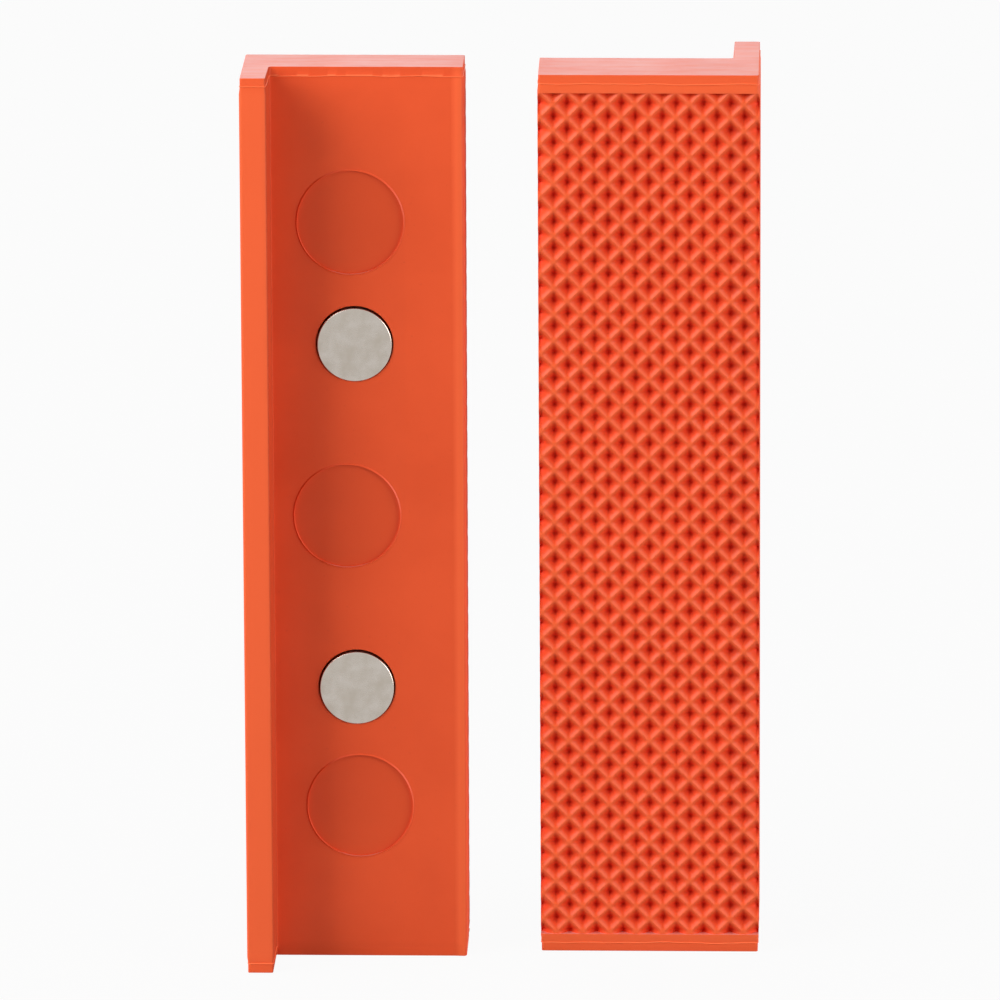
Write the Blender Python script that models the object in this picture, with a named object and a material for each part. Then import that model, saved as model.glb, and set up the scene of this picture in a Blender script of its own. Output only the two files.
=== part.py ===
"""A pair of magnetic soft jaw pads for a bench vise, standing on their ends.

Each pad is one elastomer moulding with an L section: a plate, and a lip along one long edge that
hangs over the vise jaw. Diamond pits cover the gripping face. Two disc magnets are bonded into
pockets in the back. The ends are moulded with a slight draft, so a pad that stands on one end
leans towards its gripping face. The two pads are alike, and one is turned half a turn about the
vertical. Units are metres. X runs across the pair, Y away from the viewer and Z up.
"""

import math

import bmesh
import bpy
from mathutils import Matrix, Vector

# Pad section, with the length taken at the middle of the plate's thickness
PAD_LENGTH = 0.150
PAD_WIDTH = 0.036
PLATE_THICKNESS = 0.011
LIP_REACH = 0.0095
LIP_TIP_THICKNESS = 0.0044
LIP_ROOT_THICKNESS = 0.0045
FACE_EDGE_RADIUS = 0.0005
BACK_EDGE_RADIUS = 0.0006
LIP_TIP_RADIUS = 0.0005
ROOT_FILLET = 0.0006
ARC_STEPS = 3

# Ends: their draft, and a narrowed band beyond the moulding's parting line
END_DRAFT = math.radians(1.2)
END_BAND = 0.0015
END_TAPER = 0.0002

# Diamond pits of the gripping face, whose pattern sits a little below the middle
PIT_PITCH = 0.00442
PIT_DEPTH = 0.0022
PIT_SHIFT = 0.0008
RIDGE_DROP = 0.0001
END_LAND = 0.0030

# Magnets and what bonds them
MAGNET_DIAMETER = 0.0122
MAGNET_THICKNESS = 0.0030
MAGNET_EDGE = 0.0003
MAGNET_SPACING = 0.0580
MAGNET_STAND = 0.0002
POCKET_CLEARANCE = 0.0003
ADHESIVE_DIAMETER = 0.0110
ADHESIVE_THICKNESS = 0.0006
SEAT_GAP = 0.0003

# Round marks left by the ejector pins, each a little off the pad's middle line
EJECTOR_DIAMETER = 0.0173
EJECTOR_SPACING = 0.0493
EJECTOR_DEPTH = 0.0003
EJECTOR_OFFSETS = {-1: 0.0004, 0: -0.0014, 1: -0.0006}

# Space between the two pads, edge to edge
PAD_GAP = 0.012

ROUND_STEPS = 36
OVERCUT = 0.0002

# Places that follow from the sizes, in a pad's own frame
FACE_Y = PLATE_THICKNESS / 2
BACK_Y = -PLATE_THICKNESS / 2
LIP_TIP_Y = BACK_Y - LIP_REACH
SIDE_X = PAD_WIDTH / 2
MIDDLE_Z = PAD_LENGTH / 2
END_SLOPE = math.tan(END_DRAFT)
MAGNET_HEIGHTS = {
    "upper": MIDDLE_Z + MAGNET_SPACING / 2,
    "lower": MIDDLE_Z - MAGNET_SPACING / 2,
}
MAGNET_Y = BACK_Y - MAGNET_STAND
ADHESIVE_Y = MAGNET_Y + MAGNET_THICKNESS + SEAT_GAP
POCKET_FLOOR_Y = ADHESIVE_Y + ADHESIVE_THICKNESS + SEAT_GAP
POCKET_DIAMETER = MAGNET_DIAMETER + 2 * POCKET_CLEARANCE

# Turns a shape that rises along Z so that it runs along +Y, into the pad from its back
INTO_BACK = Matrix.Rotation(-math.pi / 2, 4, "X")


def clear_scene():
    for item in list(bpy.data.objects):
        bpy.data.objects.remove(item, do_unlink=True)


def new_collection(name):
    group = bpy.data.collections.new(name)
    bpy.context.scene.collection.children.link(group)
    return group


def new_material(name, colour, roughness, metallic):
    material = bpy.data.materials.new(name)
    material.use_nodes = True
    shader = material.node_tree.nodes["Principled BSDF"]
    shader.inputs["Base Color"].default_value = (*colour, 1.0)
    shader.inputs["Roughness"].default_value = roughness
    shader.inputs["Metallic"].default_value = metallic
    return material


def mesh_from(bm, name):
    bmesh.ops.recalc_face_normals(bm, faces=bm.faces)
    mesh = bpy.data.meshes.new(name)
    bm.to_mesh(mesh)
    bm.free()
    return mesh


def add_part(name, mesh, material, group, parent):
    part = bpy.data.objects.new(name, mesh)
    if not mesh.materials:
        mesh.materials.append(material)
    part.parent = parent
    group.objects.link(part)
    return part


def add_cutter(name, bm, group):
    cutter = bpy.data.objects.new(name, mesh_from(bm, name))
    cutter.hide_render = True
    cutter.display_type = "WIRE"
    group.objects.link(cutter)
    return cutter


def round_corner(before, corner, after, radius):
    """Points of an arc that rounds one corner of an outline."""
    towards = (before - corner).normalized()
    onward = (after - corner).normalized()
    half_angle = towards.angle(onward) / 2
    middle = corner + (towards + onward).normalized() * (radius / math.sin(half_angle))
    start = corner + towards * (radius / math.tan(half_angle)) - middle
    end = corner + onward * (radius / math.tan(half_angle)) - middle
    step_angle = -start.angle_signed(end) / ARC_STEPS
    return [middle + Matrix.Rotation(step_angle * step, 2) @ start for step in range(ARC_STEPS + 1)]


def pad_outline():
    """The L section with its rounded corners, from the gripping face round by the lip."""
    corners = [
        (Vector((-SIDE_X, FACE_Y)), FACE_EDGE_RADIUS),
        (Vector((-SIDE_X, LIP_TIP_Y)), LIP_TIP_RADIUS),
        (Vector((-SIDE_X + LIP_TIP_THICKNESS, LIP_TIP_Y)), LIP_TIP_RADIUS),
        (Vector((-SIDE_X + LIP_ROOT_THICKNESS, BACK_Y)), ROOT_FILLET),
        (Vector((SIDE_X, BACK_Y)), BACK_EDGE_RADIUS),
        (Vector((SIDE_X, FACE_Y)), FACE_EDGE_RADIUS),
    ]
    points = []
    for index, (corner, radius) in enumerate(corners):
        before = corners[index - 1][0]
        after = corners[(index + 1) % len(corners)][0]
        points += round_corner(before, corner, after, radius)
    return points


def pad_blank_mesh():
    """The section drawn out to the parting lines, with a narrowed band and draft at each end."""
    bm = bmesh.new()
    ring = [bm.verts.new((point.x, point.y, END_BAND)) for point in pad_outline()]
    edges = [bm.edges.new((vert, ring[index - 1])) for index, vert in enumerate(ring)]
    section = bmesh.ops.edgeloop_fill(bm, edges=edges)["faces"]
    drawn = bmesh.ops.extrude_face_region(bm, geom=section, use_keep_orig=True)["geom"]
    far_end = [item for item in drawn if isinstance(item, bmesh.types.BMFace)]
    far_verts = [item for item in drawn if isinstance(item, bmesh.types.BMVert)]
    bmesh.ops.translate(bm, verts=far_verts, vec=(0, 0, PAD_LENGTH - 2 * END_BAND))
    bmesh.ops.recalc_face_normals(bm, faces=bm.faces)
    for cap in (section, far_end):
        bmesh.ops.inset_region(
            bm, faces=cap, thickness=END_TAPER, depth=END_BAND, use_even_offset=True)
    for vert in bm.verts:
        vert.co.z += vert.co.y * math.copysign(END_SLOPE, MIDDLE_Z - vert.co.z)
    return mesh_from(bm, "jaw_pad_blank")


def pit_cutter(group):
    """A sheet of pyramids that meet in ridges, trimmed to the pads' sides and end lands."""
    half_zone = MIDDLE_Z - FACE_Y * END_SLOPE - END_LAND
    half_width = SIDE_X + OVERCUT
    cells = 2 * math.ceil((half_width + half_zone) / PIT_PITCH) + 1
    bm = bmesh.new()
    bmesh.ops.create_grid(
        bm, x_segments=cells, y_segments=cells, size=cells * PIT_PITCH / math.sqrt(8),
        matrix=Matrix.Rotation(math.pi / 4, 4, "Z"))
    bmesh.ops.poke(bm, faces=bm.faces, offset=-PIT_DEPTH)
    bmesh.ops.transform(
        bm, verts=bm.verts,
        matrix=Matrix.Translation((0, FACE_Y - RIDGE_DROP, MIDDLE_Z - PIT_SHIFT)) @ INTO_BACK)
    for direction, half in ((Vector((1, 0, 0)), half_width), (Vector((0, 0, 1)), half_zone)):
        for side in (-1, 1):
            bmesh.ops.bisect_plane(
                bm, geom=bm.verts[:] + bm.edges[:] + bm.faces[:], dist=1e-7, clear_outer=True,
                plane_co=Vector((0, 0, MIDDLE_Z)) + direction * side * half,
                plane_no=direction * side)
    raised = bmesh.ops.extrude_face_region(bm, geom=bm.faces[:], use_keep_orig=True)["geom"]
    for item in raised:
        if isinstance(item, bmesh.types.BMVert):
            item.co.y = FACE_Y + OVERCUT
    return add_cutter("pit_cutter", bm, group)


def back_disc(bm, diameter, from_y, to_y, x=0.0, z=0.0):
    """A disc whose axis runs into the pad's back, between two depths."""
    bmesh.ops.create_cone(
        bm, cap_ends=True, segments=ROUND_STEPS, radius1=diameter / 2, radius2=diameter / 2,
        depth=to_y - from_y, matrix=Matrix.Translation((x, (from_y + to_y) / 2, z)) @ INTO_BACK)


def pocket_cutter(group):
    bm = bmesh.new()
    for z in MAGNET_HEIGHTS.values():
        back_disc(bm, POCKET_DIAMETER, BACK_Y - OVERCUT, POCKET_FLOOR_Y, z=z)
    return add_cutter("pocket_cutter", bm, group)


def ejector_cutter(group):
    bm = bmesh.new()
    for step, x in EJECTOR_OFFSETS.items():
        z = MIDDLE_Z + step * EJECTOR_SPACING
        back_disc(bm, EJECTOR_DIAMETER, BACK_Y - OVERCUT, BACK_Y + EJECTOR_DEPTH, x, z)
    return add_cutter("ejector_cutter", bm, group)


def pad_mesh(group):
    """The finished moulding, cut from its blank."""
    blank = bpy.data.objects.new("jaw_pad_blank", pad_blank_mesh())
    group.objects.link(blank)
    for cutter in (pocket_cutter(group), ejector_cutter(group), pit_cutter(group)):
        cut = blank.modifiers.new(cutter.name, "BOOLEAN")
        cut.operation = "DIFFERENCE"
        cut.solver = "EXACT"
        cut.object = cutter
    evaluated = blank.evaluated_get(bpy.context.evaluated_depsgraph_get())
    mesh = bpy.data.meshes.new_from_object(evaluated)
    mesh.name = "jaw_pad"
    bpy.data.objects.remove(blank, do_unlink=True)
    return mesh


def disc_mesh(name, diameter, thickness, edge):
    """A disc seen from its back face, at depth zero, with both rims broken by a small bevel."""
    bm = bmesh.new()
    back_disc(bm, diameter, 0.0, thickness)
    if edge > 0:
        rims = [item for item in bm.edges if item.calc_face_angle() > math.pi / 4]
        bmesh.ops.bevel(bm, geom=rims, offset=edge, segments=1, affect="EDGES")
    mesh = mesh_from(bm, name)
    mesh.shade_smooth()
    mesh.set_sharp_from_angle(angle=math.radians(30))
    return mesh


def build():
    clear_scene()
    parts = new_collection("jaw_pad_pair")
    cutters = new_collection("jaw_pad_cutters")
    elastomer = new_material("orange_elastomer", (0.83, 0.09, 0.03), 0.35, 0.0)
    nickel = new_material("nickel_plate", (0.52, 0.47, 0.42), 0.25, 1.0)
    adhesive = new_material("cured_adhesive", (0.60, 0.57, 0.48), 0.40, 0.0)

    pad = pad_mesh(cutters)
    magnet = disc_mesh("disc_magnet", MAGNET_DIAMETER, MAGNET_THICKNESS, MAGNET_EDGE)
    bond = disc_mesh("adhesive_disc", ADHESIVE_DIAMETER, ADHESIVE_THICKNESS, 0.0)

    pad_centre = (PAD_WIDTH + PAD_GAP) / 2
    lean_shift = MIDDLE_Z * math.sin(END_DRAFT)
    for side, facing, turn in (("left", -1, 0.0), ("right", 1, math.pi)):
        frame = bpy.data.objects.new(side + "_pad_frame", None)
        frame.location = (facing * pad_centre, facing * lean_shift, 0)
        frame.rotation_euler = (-END_DRAFT, 0, turn)
        parts.objects.link(frame)
        add_part(side + "_jaw_pad", pad, elastomer, parts, frame)
        for level, z in MAGNET_HEIGHTS.items():
            disc = add_part(f"{side}_{level}_magnet", magnet, nickel, parts, frame)
            disc.location = (0, MAGNET_Y, z)
            film = add_part(f"{side}_{level}_adhesive", bond, adhesive, parts, frame)
            film.location = (0, ADHESIVE_Y, z)


build()
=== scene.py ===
"""Looks of a pair of magnetic soft jaw pads: moulded orange elastomer with nickel disc magnets."""

import math

import bmesh
import bpy
from mathutils import Matrix, Vector, noise


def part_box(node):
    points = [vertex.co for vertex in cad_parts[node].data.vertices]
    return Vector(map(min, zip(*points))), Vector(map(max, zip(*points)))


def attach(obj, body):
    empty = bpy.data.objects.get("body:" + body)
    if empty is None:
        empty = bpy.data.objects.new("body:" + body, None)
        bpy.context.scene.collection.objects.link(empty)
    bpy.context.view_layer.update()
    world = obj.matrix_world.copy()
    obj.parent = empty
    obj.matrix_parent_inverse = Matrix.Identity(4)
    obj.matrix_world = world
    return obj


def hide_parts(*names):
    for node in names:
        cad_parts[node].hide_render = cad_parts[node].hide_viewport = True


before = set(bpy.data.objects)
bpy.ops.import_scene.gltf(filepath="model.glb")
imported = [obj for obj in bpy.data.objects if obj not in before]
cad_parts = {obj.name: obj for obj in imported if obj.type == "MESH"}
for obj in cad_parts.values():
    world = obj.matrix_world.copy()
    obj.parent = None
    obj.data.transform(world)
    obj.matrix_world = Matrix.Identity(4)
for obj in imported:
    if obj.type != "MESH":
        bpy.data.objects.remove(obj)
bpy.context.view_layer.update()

# Sizes of the solids, in metres, in a pad's own frame: X across, Y out of its face, Z up its length
PAD_LENGTH = 0.150
PAD_WIDTH = 0.036
PLATE_THICKNESS = 0.011
LIP_REACH = 0.0095
LIP_TIP_THICKNESS = 0.0044
LIP_ROOT_THICKNESS = 0.0045
END_DRAFT = math.radians(1.2)
MAGNET_DIAMETER = 0.0122
MAGNET_THICKNESS = 0.0030
MAGNET_SPACING = 0.0580
MAGNET_STAND = 0.0002
POCKET_DEPTH = 0.0040
SIDE_X = PAD_WIDTH / 2
MIDDLE_Z = PAD_LENGTH / 2
FACE_Y = PLATE_THICKNESS / 2
BACK_Y = -PLATE_THICKNESS / 2
LIP_TIP_Y = BACK_Y - LIP_REACH
END_SLOPE = math.tan(END_DRAFT)
MAGNET_HEIGHTS = {
    "upper": MIDDLE_Z + MAGNET_SPACING / 2,
    "lower": MIDDLE_Z - MAGNET_SPACING / 2,
}

# Corners of the moulded section, and a faint rim along the back's free edge
FACE_EDGE_RADIUS = 0.0005
BACK_EDGE_RADIUS = 0.0006
LIP_TIP_RADIUS = 0.0004
ROOT_FILLET = 0.00015
RIM_WIDTH = 0.0021
RIM_RISE = 0.00015
RIM_BLEND = 0.0004
BACK_FLAT_Y = BACK_Y + RIM_RISE

# Ends: a leaning band beyond a thin wavy line of flash, which stands in a shallow dip
END_BAND = 0.0015
END_ROUND = 0.0001
END_TAPER = 0.00005
BACK_BAND_TAPER = 0.0003
FLASH_HEIGHT = 0.00014
FLASH_SLOPE = 0.0001
FLASH_DROP = 0.00008
FLASH_FADE = 0.0011
FLASH_REACH = 1.5 * FLASH_SLOPE
FLASH_WANDER = 0.00022
WANDER_SCALE = 230.0
SWELL_MEAN = 0.8
SWELL_RANGE = 0.5
SWELL_SCALE = 410.0

# Diamond pits
PIT_PITCH = 0.00442
PIT_DEPTH = 0.0022
PIT_SHIFT = 0.0008
PIT_CURVE = 1.65
RIDGE_DROP = 0.0001
RIDGE_Y = FACE_Y - RIDGE_DROP
END_LAND = 0.0030
CREASE_SOFTNESS = 0.05
FLOOR_SOFTNESS = 0.08

# Recesses in the back, with a bead of flash round each ejector mark
POCKET_CLEARANCE = 0.0002
POCKET_DIAMETER = MAGNET_DIAMETER + 2 * POCKET_CLEARANCE
POCKET_LEAD = 0.0001
EJECTOR_DIAMETER = 0.0173
EJECTOR_SPACING = 0.0493
EJECTOR_DEPTH = 0.0003
EJECTOR_OFFSETS = {-1: 0.0004, 0: -0.0014, 1: -0.0006}
EJECTOR_FOOT = 0.00003
BEAD_CREST = 0.00005
BEAD_FLANK = 0.0002
BEAD_HEIGHT = 0.00016
BEAD_ROOT = 0.0002

# Magnets: how low they lie in their pockets, and the rounding of their rims
MAGNET_DROP = 0.00015
MAGNET_RIM = 0.00018

# Fineness of the meshes, angles of sharp edges, and how far a cutter reaches past a surface
ARC_STEPS = 6
OUTLINE_STEP = 0.0005
END_ROUND_STEPS = 4
PIT_SAMPLES = 10
TURN_STEPS = 96
MAGNET_RIM_STEPS = 6
CAP_CORNERS = 150
PAD_SHARP_DEGREES = 35
MAGNET_SHARP_DEGREES = 40
WELD_DISTANCE = 1e-7
OVERCUT = 0.0002


def mesh_object(name, bm):
    bmesh.ops.recalc_face_normals(bm, faces=bm.faces)
    mesh = bpy.data.meshes.new(name)
    bm.to_mesh(mesh)
    bm.free()
    item = bpy.data.objects.new(name, mesh)
    bpy.context.scene.collection.objects.link(item)
    return item


def smooth_shade(mesh, sharp_degrees):
    mesh.shade_smooth()
    mesh.set_sharp_from_angle(angle=math.radians(sharp_degrees))


def quarter_turn(steps):
    """Evenly spaced angles from zero to a right angle."""
    return [math.pi / 2 * step / steps for step in range(steps + 1)]


def round_corner(before, corner, after, radius):
    """Points of an arc that rounds one corner of an outline."""
    towards = (before - corner).normalized()
    onward = (after - corner).normalized()
    half_angle = towards.angle(onward) / 2
    middle = corner + (towards + onward).normalized() * (radius / math.sin(half_angle))
    start = corner + towards * (radius / math.tan(half_angle)) - middle
    end = corner + onward * (radius / math.tan(half_angle)) - middle
    swing = start.angle_signed(end)
    turns = [Matrix.Rotation(-swing * step / ARC_STEPS, 2) for step in range(ARC_STEPS + 1)]
    return [middle + turn @ start for turn in turns]


def section_outline():
    """The L section with rounded corners and evenly split sides, as points and outward normals."""
    corners = [
        (Vector((-SIDE_X, FACE_Y)), FACE_EDGE_RADIUS),
        (Vector((-SIDE_X, LIP_TIP_Y)), LIP_TIP_RADIUS),
        (Vector((-SIDE_X + LIP_TIP_THICKNESS, LIP_TIP_Y)), LIP_TIP_RADIUS),
        (Vector((-SIDE_X + LIP_ROOT_THICKNESS, BACK_FLAT_Y)), ROOT_FILLET),
        (Vector((SIDE_X - RIM_WIDTH, BACK_FLAT_Y)), RIM_BLEND),
        (Vector((SIDE_X, BACK_Y)), BACK_EDGE_RADIUS),
        (Vector((SIDE_X, FACE_Y)), FACE_EDGE_RADIUS),
    ]
    arcs = []
    for index, (corner, radius) in enumerate(corners):
        before = corners[index - 1][0]
        after = corners[(index + 1) % len(corners)][0]
        arcs.append(round_corner(before, corner, after, radius))
    points = []
    for index, arc in enumerate(arcs):
        points += arc
        onward = arcs[(index + 1) % len(arcs)][0]
        splits = math.ceil((onward - arc[-1]).length / OUTLINE_STEP)
        points += [arc[-1].lerp(onward, step / splits) for step in range(1, splits)]
    normals = []
    for index in range(len(points)):
        along = points[(index + 1) % len(points)] - points[index - 1]
        normals.append(Vector((along.y, -along.x)).normalized())
    return points, normals


def end_rings(top):
    """Distance from the end, inset, and shares of taper and flash for each ring of an end band."""
    rings = []
    for angle in quarter_turn(END_ROUND_STEPS):
        rise = END_ROUND * (1 - math.cos(angle))
        rings.append((rise, FLASH_HEIGHT + END_ROUND * (1 - math.sin(angle)), 1.0, 0.0))
    outer, inner = (FLASH_SLOPE, FLASH_DROP) if top else (FLASH_DROP, FLASH_SLOPE)
    rings.append((END_BAND - outer, FLASH_HEIGHT, 0.0, 0.0))
    rings.append((END_BAND, FLASH_HEIGHT, 0.0, 1.0))
    rings.append((END_BAND + inner, FLASH_HEIGHT, 0.0, 0.0))
    rings.append((END_BAND + inner + FLASH_FADE, 0.0, 0.0, 0.0))
    return rings


def plate_back(point, normal):
    """One on the back of the plate, beyond the lip's root, and zero elsewhere."""
    beyond_root = (point.x + SIDE_X - LIP_ROOT_THICKNESS) / ROOT_FILLET
    return max(0.0, min(1.0, beyond_root)) * max(0.0, -normal.y)


def band_taper(point, normal):
    """How far the end band leans in: more on the back of the plate than on the lip."""
    return normal.y * END_TAPER - plate_back(point, normal) * (BACK_BAND_TAPER - END_TAPER)


def blank_ring(bm, outline, distance, inset, taper, flash, top):
    """One closed ring of the moulding. Its flash line wanders, and stops low on the plate's back."""
    near_flash = abs(distance - END_BAND) < FLASH_REACH
    ring = []
    for point, normal in zip(*outline):
        shown = 1.0 if top else 1.0 - plate_back(point, normal)
        spot = Vector((point.x, point.y, 1.0 if top else -1.0))
        wander = FLASH_WANDER * noise.noise(spot * WANDER_SCALE) if near_flash else 0.0
        fullness = min(1.0, SWELL_MEAN + SWELL_RANGE * noise.noise(spot * SWELL_SCALE))
        swell = FLASH_HEIGHT * flash * shown * fullness
        place = point - normal * (inset - swell)
        place.y -= taper * shown * band_taper(point, normal)
        height = distance + wander + place.y * END_SLOPE
        ring.append(bm.verts.new((place.x, place.y, PAD_LENGTH - height if top else height)))
    return ring


def pad_blank():
    """The L section lofted from end to end, with rounded, narrowed ends and flash lines."""
    outline = section_outline()
    bm = bmesh.new()
    rings = [blank_ring(bm, outline, *ring, False) for ring in end_rings(False)]
    rings += [blank_ring(bm, outline, *ring, True) for ring in reversed(end_rings(True))]
    for low, high in zip(rings, rings[1:]):
        for index in range(len(low)):
            bm.faces.new((low[index - 1], low[index], high[index], high[index - 1]))
    bm.faces.new(rings[0])
    bm.faces.new(rings[-1])
    return mesh_object("pad_blank", bm)


def face_depth(x, z):
    """Depth of the gripping face below its ridges: square pits with soft ridges and floors."""
    inward = []
    for diagonal in (x + z, z - x):
        cell = diagonal / PIT_PITCH
        from_middle = 2 * (cell - round(cell))
        inward.append(1 - math.hypot(from_middle, FLOOR_SOFTNESS))
    gap = abs(inward[0] - inward[1])
    softened = min(inward) - CREASE_SOFTNESS * math.log(1 + math.exp(-gap / CREASE_SOFTNESS))
    return PIT_DEPTH * max(softened, 0.0) ** PIT_CURVE


def pit_cutter():
    """The space over the gripping face, down to its ridges and pits."""
    half_zone = MIDDLE_Z - FACE_Y * END_SLOPE - END_LAND
    half_width = SIDE_X + OVERCUT
    cells = 2 * math.ceil((half_width + half_zone) / PIT_PITCH) + 1
    half_edge = cells * PIT_PITCH / math.sqrt(8)
    bm = bmesh.new()
    bmesh.ops.create_grid(
        bm, x_segments=cells * PIT_SAMPLES, y_segments=cells * PIT_SAMPLES, size=half_edge,
        matrix=Matrix.Rotation(math.pi / 4, 4, "Z"))
    reach_x = half_width + PIT_PITCH
    reach_z = half_zone + PIT_PITCH
    spare = [vert for vert in bm.verts if abs(vert.co.x) > reach_x or abs(vert.co.y) > reach_z]
    bmesh.ops.delete(bm, geom=spare, context="VERTS")
    for vert in bm.verts:
        x, z = vert.co.x, vert.co.y
        vert.co = (x, RIDGE_Y - face_depth(x, z), MIDDLE_Z - PIT_SHIFT - z)
    for direction, half in ((Vector((1, 0, 0)), half_width), (Vector((0, 0, 1)), half_zone)):
        for side in (-1, 1):
            bmesh.ops.bisect_plane(
                bm, geom=bm.verts[:] + bm.edges[:] + bm.faces[:], dist=WELD_DISTANCE,
                clear_outer=True, plane_co=Vector((0, 0, MIDDLE_Z)) + direction * side * half,
                plane_no=direction * side)
    rim = [edge for edge in bm.edges if edge.is_boundary]
    raised = bmesh.ops.extrude_edge_only(bm, edges=rim)["geom"]
    for item in raised:
        if isinstance(item, bmesh.types.BMVert):
            item.co.y = FACE_Y + OVERCUT
    lid = [item for item in raised if isinstance(item, bmesh.types.BMEdge) and item.is_boundary]
    bmesh.ops.edgeloop_fill(bm, edges=lid)
    return mesh_object("pit_cutter", bm)


def turned(bm, profile, place):
    """A shape turned about the Y axis through place, from a profile of radius and depth."""
    verts = [bm.verts.new(place + Vector((radius, depth, 0))) for radius, depth in profile]
    edges = [bm.edges.new(pair) for pair in zip(verts, verts[1:])]
    bmesh.ops.spin(
        bm, geom=verts + edges, cent=place, axis=(0, 1, 0), angle=2 * math.pi,
        steps=TURN_STEPS, use_merge=True)
    bmesh.ops.remove_doubles(bm, verts=bm.verts, dist=WELD_DISTANCE)


def pocket_cutter():
    """Magnet pockets with a broken edge at the mouth."""
    radius = POCKET_DIAMETER / 2
    floor = BACK_Y + POCKET_DEPTH
    profile = [
        (0, floor), (radius, floor), (radius, BACK_FLAT_Y + POCKET_LEAD),
        (radius + POCKET_LEAD, BACK_FLAT_Y), (radius + POCKET_LEAD, BACK_Y - OVERCUT),
        (0, BACK_Y - OVERCUT)]
    bm = bmesh.new()
    for z in MAGNET_HEIGHTS.values():
        turned(bm, profile, Vector((0, 0, z)))
    return mesh_object("pocket_cutter", bm)


def at_ejector_marks(name, profile):
    """One turned shape at each of the ejector marks."""
    bm = bmesh.new()
    for step, x in EJECTOR_OFFSETS.items():
        turned(bm, profile, Vector((x, 0, MIDDLE_Z + step * EJECTOR_SPACING)))
    return mesh_object(name, bm)


def ejector_bead():
    """A thin ring of flash round each ejector mark, steep inside and sloping outside."""
    inner = EJECTOR_DIAMETER / 2 - OVERCUT
    crest_edge = EJECTOR_DIAMETER / 2 + BEAD_CREST
    outer = crest_edge + BEAD_FLANK
    crest = BACK_FLAT_Y - BEAD_HEIGHT
    root = BACK_FLAT_Y + BEAD_ROOT
    profile = [
        (inner, root), (inner, crest), (crest_edge, crest), (outer, BACK_FLAT_Y), (outer, root),
        (inner, root)]
    return at_ejector_marks("ejector_bead", profile)


def ejector_cutter():
    """Shallow round marks with a steep wall and a soft foot."""
    rim = EJECTOR_DIAMETER / 2
    floor = BACK_FLAT_Y + EJECTOR_DEPTH
    profile = [
        (0, floor), (rim - EJECTOR_FOOT, floor), (rim, floor - EJECTOR_FOOT),
        (rim, BACK_Y - OVERCUT), (0, BACK_Y - OVERCUT)]
    return at_ejector_marks("ejector_cutter", profile)


def flatten_caps(mesh):
    """Keeps the flat end caps free of the shading of their rounded edges."""
    caps = [face for face in mesh.polygons if face.loop_total > CAP_CORNERS]
    rims = {key for face in caps for key in face.edge_keys}
    for edge in mesh.edges:
        if edge.key in rims:
            edge.use_edge_sharp = True


def pad_mesh():
    """The finished moulding as one mesh, which both pads share."""
    blank = pad_blank()
    tools = {ejector_bead(): "UNION"}
    for cutter in (pocket_cutter(), ejector_cutter(), pit_cutter()):
        tools[cutter] = "DIFFERENCE"
    for tool, operation in tools.items():
        cut = blank.modifiers.new(tool.name, "BOOLEAN")
        cut.operation = operation
        cut.solver = "EXACT"
        cut.object = tool
    evaluated = blank.evaluated_get(bpy.context.evaluated_depsgraph_get())
    mesh = bpy.data.meshes.new_from_object(evaluated)
    mesh.name = "jaw_pad"
    smooth_shade(mesh, PAD_SHARP_DEGREES)
    flatten_caps(mesh)
    for item in [blank, *tools]:
        bpy.data.objects.remove(item, do_unlink=True)
    return mesh


def magnet_mesh():
    """A disc magnet with rounded rims, its outer face at depth zero."""
    inner = MAGNET_DIAMETER / 2 - MAGNET_RIM
    far = MAGNET_THICKNESS - MAGNET_RIM
    turns = quarter_turn(MAGNET_RIM_STEPS)
    arc = [(MAGNET_RIM * math.sin(turn), MAGNET_RIM * math.cos(turn)) for turn in turns]
    profile = [(0, 0)]
    profile += [(inner + sine, MAGNET_RIM - cosine) for sine, cosine in arc]
    profile += [(inner + cosine, far + sine) for sine, cosine in arc]
    profile.append((0, MAGNET_THICKNESS))
    bm = bmesh.new()
    turned(bm, profile, Vector())
    item = mesh_object("disc_magnet", bm)
    mesh = item.data
    smooth_shade(mesh, MAGNET_SHARP_DEGREES)
    bpy.data.objects.remove(item, do_unlink=True)
    return mesh


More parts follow.
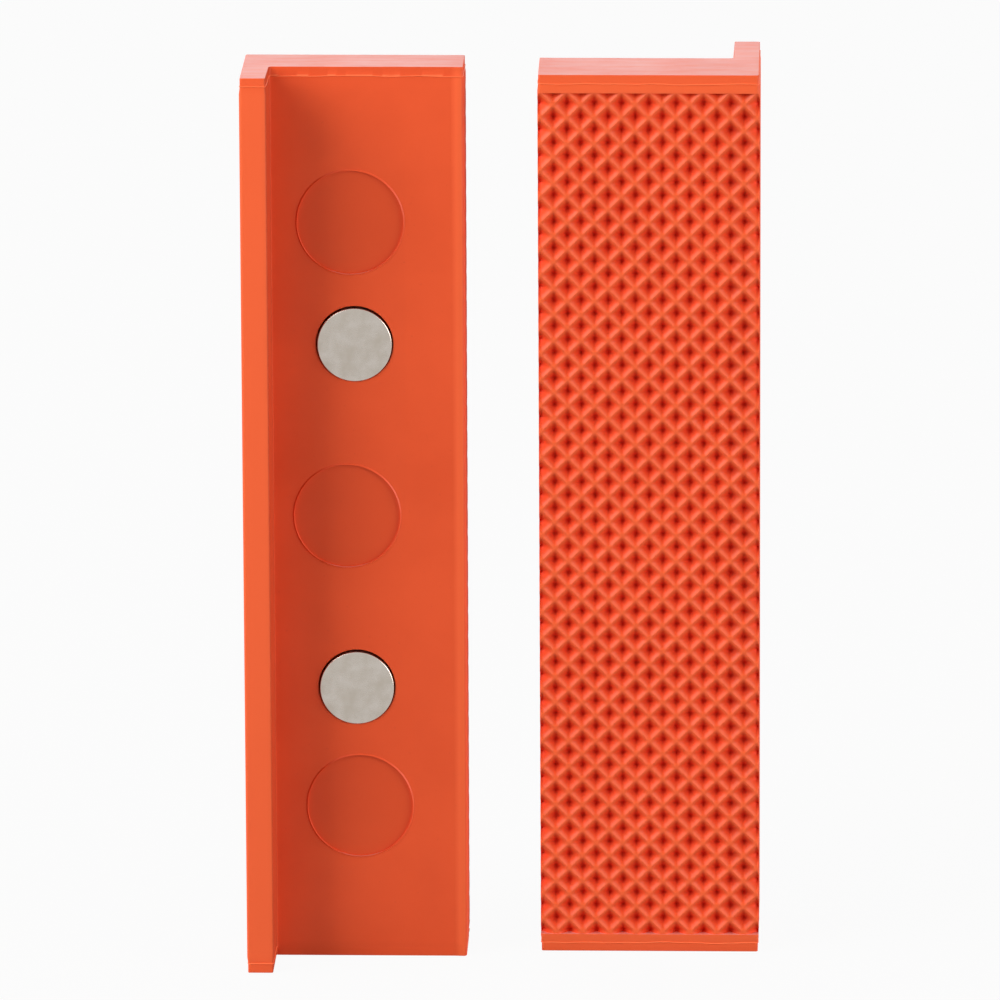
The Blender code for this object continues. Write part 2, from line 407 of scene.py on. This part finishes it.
class Nodes:
    """A material's node tree, with short calls to add and link nodes."""

    def __init__(self, name):
        self.material = bpy.data.materials.new(name)
        self.material.use_nodes = True
        self.tree = self.material.node_tree
        self.shader = self.tree.nodes["Principled BSDF"]
        outputs = self.tree.nodes.new("ShaderNodeTexCoord").outputs
        self.coords = outputs["Object"]
        self.place = self.add("ShaderNodeSeparateXYZ", {"Vector": outputs["Object"]}).outputs
        self.facing = self.add("ShaderNodeSeparateXYZ", {"Vector": outputs["Normal"]}).outputs

    def supply(self, target, value):
        """Links a socket to another one, or gives it a plain value."""
        if isinstance(value, bpy.types.NodeSocket):
            self.tree.links.new(value, target)
        else:
            target.default_value = value

    def add(self, kind, links=None, **settings):
        node = self.tree.nodes.new(kind)
        for key, value in settings.items():
            setattr(node, key, value)
        for socket, value in (links or {}).items():
            self.supply(node.inputs[socket], value)
        return node

    def noise(self, scale, detail, vector=None):
        links = {"Vector": vector or self.coords, "Scale": scale, "Detail": detail}
        return self.add("ShaderNodeTexNoise", links).outputs["Fac"]

    def streaks(self, scales, detail):
        """Noise with a scale of its own along each axis."""
        mapped = self.add("ShaderNodeMapping", {"Vector": self.coords, "Scale": scales})
        return self.noise(1.0, detail, mapped.outputs["Vector"])

    def ramp(self, value, low, high, out_low=0.0, out_high=1.0):
        links = {
            "Value": value, "From Min": low, "From Max": high, "To Min": out_low, "To Max": out_high}
        return self.add("ShaderNodeMapRange", links).outputs["Result"]

    def blend(self, share, first, second):
        """Mixes two colours, each of them a plain colour or a socket."""
        node = self.add("ShaderNodeMix", data_type="RGBA")
        inputs = {socket.identifier: socket for socket in node.inputs}
        self.supply(inputs["Factor_Float"], share)
        for name, colour in (("A_Color", first), ("B_Color", second)):
            self.supply(inputs[name], (*colour, 1.0) if isinstance(colour, tuple) else colour)
        return next(socket for socket in node.outputs if socket.identifier == "Result_Color")

    def math(self, operation, *values):
        return self.add("ShaderNodeMath", dict(enumerate(values)), operation=operation).outputs[0]

    def bump(self, height, distance, strength, normal=None):
        links = {"Height": height, "Distance": distance, "Strength": strength}
        if normal:
            links["Normal"] = normal
        return self.add("ShaderNodeBump", links).outputs["Normal"]

    def feed(self, **sockets):
        """Supplies the shader's inputs, named with underscores for spaces."""
        for name, value in sockets.items():
            self.supply(self.shader.inputs[name.replace("_", " ")], value)


# Elastomer: two oranges, then each tint with the greatest share of it that shows; all tints but the
# specks are painted light
ORANGE = (0.89, 0.104, 0.027)
ORANGE_DEEP = (0.83, 0.092, 0.023)
# Least and most share of the painted sheen on the ends
END_SHEEN_LEAST = 0.24
END_SHEEN_MOST = 0.46
TINTS = {
    "specks": ((0.55, 0.045, 0.02), 0.15),
    # painted highlight: a lighter orange on the ridges, the lip's tip and the back's rim
    "painted_highlight": ((0.98, 0.140, 0.040), 0.85),
    # painted shade: a dark red on the lip's inner side
    "lip_root": ((0.42, 0.055, 0.022), 0.65),
    # painted highlight: a paler orange on the slopes of the flash lines
    "flash": ((1.0, 0.20, 0.07), 0.8),
    # painted shade: a deeper red, growing with depth down the pits
    "pits": ((1.0, 0.047, 0.034), 0.7),
    # painted shade: a darker orange on the floors of the marks in the back
    "recesses": ((0.68, 0.07, 0.016), 0.4),
    # painted sheen: pale pink streaks on the ends
    "ends": ((0.84, 0.54, 0.52), END_SHEEN_MOST),
}
# Depth below the ridges over which the painted highlight fades out
RIDGE_BAND_DEPTH = 0.0003

# Nickel plate and adhesive
NICKEL_PALE = (0.54, 0.49, 0.44)
NICKEL_DULL = (0.46, 0.41, 0.35)
ADHESIVE_PALE = (0.66, 0.62, 0.52)
ADHESIVE_DULL = (0.52, 0.48, 0.38)

# Grain of the materials: scale per metre, or one for each axis, and detail
MOTTLE_GRAIN = (70.0, 4.0)
SPECK_GRAIN = (1400.0, 2.0)
SKIN_GRAIN = (2600.0, 2.0)
FLOW_GRAIN = (95.0, 2.0)
SCUFF_GRAIN = ((900.0, 900.0, 60.0), 4.0)
END_GRAIN = ((110.0, 700.0, 1.0), 4.0)
BLOTCH_GRAIN = (420.0, 4.0)
SCRATCH_GRAIN = ((300.0, 300.0, 9000.0), 3.0)
CLOUD_GRAIN = (600.0, 3.0)

# Levels of grain between which a look sets in
MOTTLE_LEVELS = (0.35, 0.68)
SPECK_LEVELS = (0.70, 0.78)
SCUFF_LEVELS = (0.55, 0.75)
BLOTCH_LEVELS = (0.35, 0.7)
SCRATCH_LEVELS = (0.4, 1.6)
WAVE_LEVELS = (0.3, 0.7)

# How far a surface has to face along an axis, from where a look sets in to where it is full
FACING_FRONT = (0.15, 0.3)
FACING_BACK = (-0.85, -0.95)
FACING_INWARD = (0.3, 0.8)
FACING_ASLANT = (0.3, 0.5)
FACING_SQUARELY = (0.9, 0.97)

# Bumps, as distance in metres and strength, then roughness and shine
SKIN_BUMP = (0.00002, 0.6)
FLOW_BUMP = (0.0001, 0.35)
SCRATCH_BUMP = (0.000012, 0.5)
CLOUD_BUMP = (0.0001, 0.4)
ELASTOMER_ROUGHNESS = (0.38, 0.48)
SCUFF_ROUGHNESS = 0.08
SIDE_ROUGHNESS = 0.85
NICKEL_ROUGHNESS = (0.20, 0.36)
ADHESIVE_ROUGHNESS = (0.3, 0.5)
SHINE = 0.28
SUNKEN_SHINE = 0.06


def face_share(nodes, depth, at_ridges, at_depth):
    """A share that changes from the gripping face's ridges to a depth below, and is zero elsewhere."""
    share = nodes.ramp(nodes.place["Y"], RIDGE_Y - depth, RIDGE_Y, at_depth, at_ridges)
    return nodes.math("MULTIPLY", share, nodes.ramp(nodes.facing["Y"], *FACING_FRONT))


def on_back(nodes):
    """One where the surface faces out of the back."""
    return nodes.ramp(nodes.facing["Y"], *FACING_BACK)


def squarely(nodes, axis):
    """One where the surface faces straight along an axis, either way."""
    return nodes.ramp(nodes.math("ABSOLUTE", nodes.facing[axis]), *FACING_SQUARELY)


def recess_shade_share(nodes):
    """One on the floors of the marks in the back, and zero elsewhere: where painted shade darkens the
    colour.
    """
    depth = nodes.ramp(nodes.place["Y"], BACK_FLAT_Y, BACK_FLAT_Y + EJECTOR_DEPTH)
    return nodes.math("MULTIPLY", depth, on_back(nodes))


def lip_shade_share(nodes):
    """One on the lip's inner side, and zero elsewhere: where painted shade darkens the colour."""
    root = -SIDE_X + LIP_ROOT_THICKNESS + ROOT_FILLET
    beside_lip = nodes.ramp(nodes.place["X"], root, root + ROOT_FILLET, 1.0, 0.0)
    return nodes.math("MULTIPLY", beside_lip, nodes.ramp(nodes.facing["X"], *FACING_INWARD))


def painted_highlight_share(nodes):
    """One on the gripping face's ridges and lands, the lip's tip and the back's rim, where a painted
    highlight lightens the colour.
    """
    ridges = face_share(nodes, RIDGE_BAND_DEPTH, 1.0, 0.0)
    lip_tip = nodes.ramp(nodes.place["Y"], LIP_TIP_Y, LIP_TIP_Y + LIP_TIP_RADIUS, 1.0, 0.0)
    rim_edge = SIDE_X - RIM_WIDTH
    rim = nodes.ramp(nodes.place["X"], rim_edge, rim_edge + 2 * RIM_BLEND)
    rim = nodes.math("MULTIPLY", rim, on_back(nodes))
    return nodes.math("MAXIMUM", ridges, nodes.math("MAXIMUM", lip_tip, rim))


def flash_highlight_share(nodes):
    """One on the slopes of the flash lines, and zero elsewhere: where a painted highlight lightens the
    colour.
    """
    from_middle = nodes.math("ABSOLUTE", nodes.math("SUBTRACT", nodes.place["Z"], MIDDLE_Z))
    draft = nodes.math("MULTIPLY", nodes.place["Y"], END_SLOPE)
    along = nodes.math("ADD", from_middle, draft)
    off_line = nodes.math("ABSOLUTE", nodes.math("SUBTRACT", along, MIDDLE_Z - END_BAND))
    near_line = nodes.ramp(off_line, FLASH_WANDER, FLASH_WANDER + FLASH_SLOPE, 1.0, 0.0)
    tilt = nodes.math("ABSOLUTE", nodes.facing["Z"])
    return nodes.math("MULTIPLY", near_line, nodes.ramp(tilt, *FACING_ASLANT))


def end_sheen_share(nodes):
    """Streaks of painted pale sheen on the two ends, and zero elsewhere."""
    least = END_SHEEN_LEAST / END_SHEEN_MOST
    streaks = nodes.ramp(nodes.streaks(*END_GRAIN), *WAVE_LEVELS, least, 1.0)
    return nodes.math("MULTIPLY", streaks, squarely(nodes, "Z"))


def elastomer_colour(nodes):
    """Mottled orange, with a tint for each kind of surface: specks, then painted highlights, painted
    shade and a painted sheen.
    """
    mottle = nodes.ramp(nodes.noise(*MOTTLE_GRAIN), *MOTTLE_LEVELS)
    colour = nodes.blend(mottle, ORANGE, ORANGE_DEEP)
    masks = {
        "specks": nodes.ramp(nodes.noise(*SPECK_GRAIN), *SPECK_LEVELS),
        "painted_highlight": painted_highlight_share(nodes),
        "lip_root": lip_shade_share(nodes),
        "flash": flash_highlight_share(nodes),
        # painted shade down the pits
        "pits": face_share(nodes, PIT_DEPTH, 0.0, 1.0),
        "recesses": recess_shade_share(nodes),
        "ends": end_sheen_share(nodes),
    }
    for name, mask in masks.items():
        tint, share = TINTS[name]
        colour = nodes.blend(nodes.math("MULTIPLY", mask, share), colour, tint)
    return colour


def elastomer_material():
    """Semi-gloss orange elastomer with flow waves and scuffs, duller on its sides and in its pits."""
    nodes = Nodes("orange_elastomer")
    flow = nodes.noise(*FLOW_GRAIN)
    scuffs = nodes.ramp(nodes.streaks(*SCUFF_GRAIN), *SCUFF_LEVELS, 0.0, SCUFF_ROUGHNESS)
    roughness = nodes.ramp(flow, *WAVE_LEVELS, *ELASTOMER_ROUGHNESS)
    roughness = nodes.math("ADD", roughness, scuffs)
    sides = nodes.math("MULTIPLY", squarely(nodes, "X"), SIDE_ROUGHNESS)
    roughness = nodes.math("MAXIMUM", roughness, sides)
    normal = nodes.bump(flow, *FLOW_BUMP)
    normal = nodes.bump(nodes.noise(*SKIN_GRAIN), *SKIN_BUMP, normal)
    below_ridges = face_share(nodes, 2 * RIDGE_BAND_DEPTH, 0.0, 1.0)
    sunken = nodes.math("MAXIMUM", below_ridges, lip_shade_share(nodes))
    shine = nodes.ramp(sunken, 0.0, 1.0, SHINE, SUNKEN_SHINE)
    nodes.feed(
        Base_Color=elastomer_colour(nodes), Roughness=roughness, Normal=normal,
        Specular_IOR_Level=shine)
    return nodes.material


def nickel_material():
    """Satin nickel plate with soft blotches and fine scratches."""
    nodes = Nodes("nickel_plate")
    blotch = nodes.ramp(nodes.noise(*BLOTCH_GRAIN), *BLOTCH_LEVELS)
    scratches = nodes.streaks(*SCRATCH_GRAIN)
    wear = nodes.math("ADD", scratches, blotch)
    nodes.feed(
        Base_Color=nodes.blend(blotch, NICKEL_PALE, NICKEL_DULL), Metallic=1.0,
        Roughness=nodes.ramp(wear, *SCRATCH_LEVELS, *NICKEL_ROUGHNESS),
        Normal=nodes.bump(scratches, *SCRATCH_BUMP))
    return nodes.material


def adhesive_material():
    """Cured adhesive, pale and a little cloudy."""
    nodes = Nodes("cured_adhesive")
    cloud = nodes.noise(*CLOUD_GRAIN)
    nodes.feed(
        Base_Color=nodes.blend(cloud, ADHESIVE_PALE, ADHESIVE_DULL),
        Roughness=nodes.ramp(cloud, *WAVE_LEVELS, *ADHESIVE_ROUGHNESS),
        Normal=nodes.bump(cloud, *CLOUD_BUMP))
    return nodes.material


def pad_place(side):
    """Where a pad's own frame stands: turned to face one way, and leaning by its end draft."""
    low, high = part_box(f"{side}_jaw_pad")
    facing = -1 if side == "left" else 1
    turn = Matrix.Rotation(0.0 if side == "left" else math.pi, 4, "Z")
    foot = Vector(((low.x + high.x) / 2, facing * MIDDLE_Z * math.sin(END_DRAFT), 0))
    return Matrix.Translation(foot) @ turn @ Matrix.Rotation(-END_DRAFT, 4, "X")


def place_piece(name, mesh, material, body, node, place):
    piece = bpy.data.objects.new(name, mesh)
    bpy.context.scene.collection.objects.link(piece)
    if not mesh.materials:
        mesh.materials.append(material)
    piece.matrix_world = place
    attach(piece, body)
    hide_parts(node)


def dress_pads():
    elastomer = elastomer_material()
    nickel = nickel_material()
    adhesive = adhesive_material()
    pad = pad_mesh()
    magnet = magnet_mesh()
    for side in ("left", "right"):
        body = side + "_pad"
        place = pad_place(side)
        place_piece(
            f"{side}_pad_moulding", pad, elastomer, body, f"{side}_jaw_pad", place)
        for level, z in MAGNET_HEIGHTS.items():
            seat = place @ Matrix.Translation((0, BACK_Y - MAGNET_STAND, z - MAGNET_DROP))
            place_piece(
                f"{side}_{level}_disc", magnet, nickel, body, f"{side}_{level}_magnet",
                seat)
            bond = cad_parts[f"{side}_{level}_adhesive"]
            bond.data.materials.clear()
            bond.data.materials.append(adhesive)


# Camera, fitted to the corners of both pads
CAMERA_LENS = 416.5
CAMERA_SENSOR = 36.0
CAMERA_DISTANCE = 1.8975
CAMERA_AZIMUTH = 1.79
CAMERA_ELEVATION = 15.73
CAMERA_ROLL = 0.27
CAMERA_AIM = Vector((-0.000545, 0.0, 0.07638))

# Studio: places and powers of three soft lamps, faint light all round, and a floor
LAMPS = {
    "key_left": ((-1.00, -0.45, 0.75), 22.4),
    "fill_right": ((1.05, -0.45, 0.22), 15.2),
    "panel_behind": ((0.0, 1.2, 0.85), 4.3),
}
LAMP_SIZE = 1.0
LAMP_AIM = Vector((0.0, 0.0, 0.12))
WORLD_LIGHT = 0.03
FLOOR_HALF_EDGE = 3.0
FLOOR_GREY = 0.35
FLOOR_ROUGHNESS = 0.9
FLOOR_WHITE_SHARE = 0.95


def add_camera():
    data = bpy.data.cameras.new("camera")
    data.lens = CAMERA_LENS
    data.sensor_width = CAMERA_SENSOR
    camera = bpy.data.objects.new("camera", data)
    bpy.context.scene.collection.objects.link(camera)
    azimuth = math.radians(CAMERA_AZIMUTH)
    elevation = math.radians(CAMERA_ELEVATION)
    back = Vector((
        math.sin(azimuth) * math.cos(elevation), -math.cos(azimuth) * math.cos(elevation),
        math.sin(elevation)))
    roll = Matrix.Rotation(math.radians(-CAMERA_ROLL), 4, "Z")
    camera.matrix_world = (
        Matrix.Translation(CAMERA_AIM + back * CAMERA_DISTANCE)
        @ back.to_track_quat("Z", "Y").to_matrix().to_4x4() @ roll)
    bpy.context.scene.camera = camera


def add_lamp(name, place, power):
    data = bpy.data.lights.new(name, "AREA")
    data.size = LAMP_SIZE
    data.energy = power
    lamp = bpy.data.objects.new(name, data)
    lamp.location = place
    lamp.rotation_euler = (Vector(place) - LAMP_AIM).to_track_quat("Z", "Y").to_euler()
    bpy.context.scene.collection.objects.link(lamp)


def seen_by_eye(tree):
    """One where a camera, glossy or transmitted ray looks, and zero for other light."""
    path = tree.nodes.new("ShaderNodeLightPath")
    total = path.outputs["Is Camera Ray"]
    for name in ("Is Glossy Ray", "Is Transmission Ray"):
        most = tree.nodes.new("ShaderNodeMath")
        most.operation = "MAXIMUM"
        tree.links.new(total, most.inputs[0])
        tree.links.new(path.outputs[name], most.inputs[1])
        total = most.outputs[0]
    return total


def add_world():
    """White where it is seen, and a faint light everywhere else."""
    world = bpy.data.worlds.new("studio")
    world.use_nodes = True
    bpy.context.scene.world = world
    tree = world.node_tree
    background = tree.nodes["Background"]
    background.inputs["Color"].default_value = (1.0, 1.0, 1.0, 1.0)
    level = tree.nodes.new("ShaderNodeMapRange")
    tree.links.new(seen_by_eye(tree), level.inputs["Value"])
    level.inputs["To Min"].default_value = WORLD_LIGHT
    level.inputs["To Max"].default_value = 1.0
    tree.links.new(level.outputs["Result"], background.inputs["Strength"])


def add_floor():
    """A floor that is nearly white where it is seen, and plain grey for other light."""
    bm = bmesh.new()
    bmesh.ops.create_grid(bm, x_segments=1, y_segments=1, size=FLOOR_HALF_EDGE)
    floor = mesh_object("floor", bm)
    material = bpy.data.materials.new("pale_floor")
    material.use_nodes = True
    tree = material.node_tree
    shader = tree.nodes["Principled BSDF"]
    shader.inputs["Base Color"].default_value = (FLOOR_GREY, FLOOR_GREY, FLOOR_GREY, 1.0)
    shader.inputs["Roughness"].default_value = FLOOR_ROUGHNESS
    glow = tree.nodes.new("ShaderNodeEmission")
    share = tree.nodes.new("ShaderNodeMath")
    share.operation = "MULTIPLY"
    share.inputs[1].default_value = FLOOR_WHITE_SHARE
    tree.links.new(seen_by_eye(tree), share.inputs[0])
    mix = tree.nodes.new("ShaderNodeMixShader")
    tree.links.new(share.outputs[0], mix.inputs[0])
    tree.links.new(shader.outputs[0], mix.inputs[1])
    tree.links.new(glow.outputs[0], mix.inputs[2])
    tree.links.new(mix.outputs[0], tree.nodes["Material Output"].inputs["Surface"])
    floor.data.materials.append(material)


def set_stage():
    add_camera()
    add_world()
    for name, (place, power) in LAMPS.items():
        add_lamp(name, place, power)
    add_floor()
    bpy.context.scene.view_settings.view_transform = "Standard"


dress_pads()
set_stage()
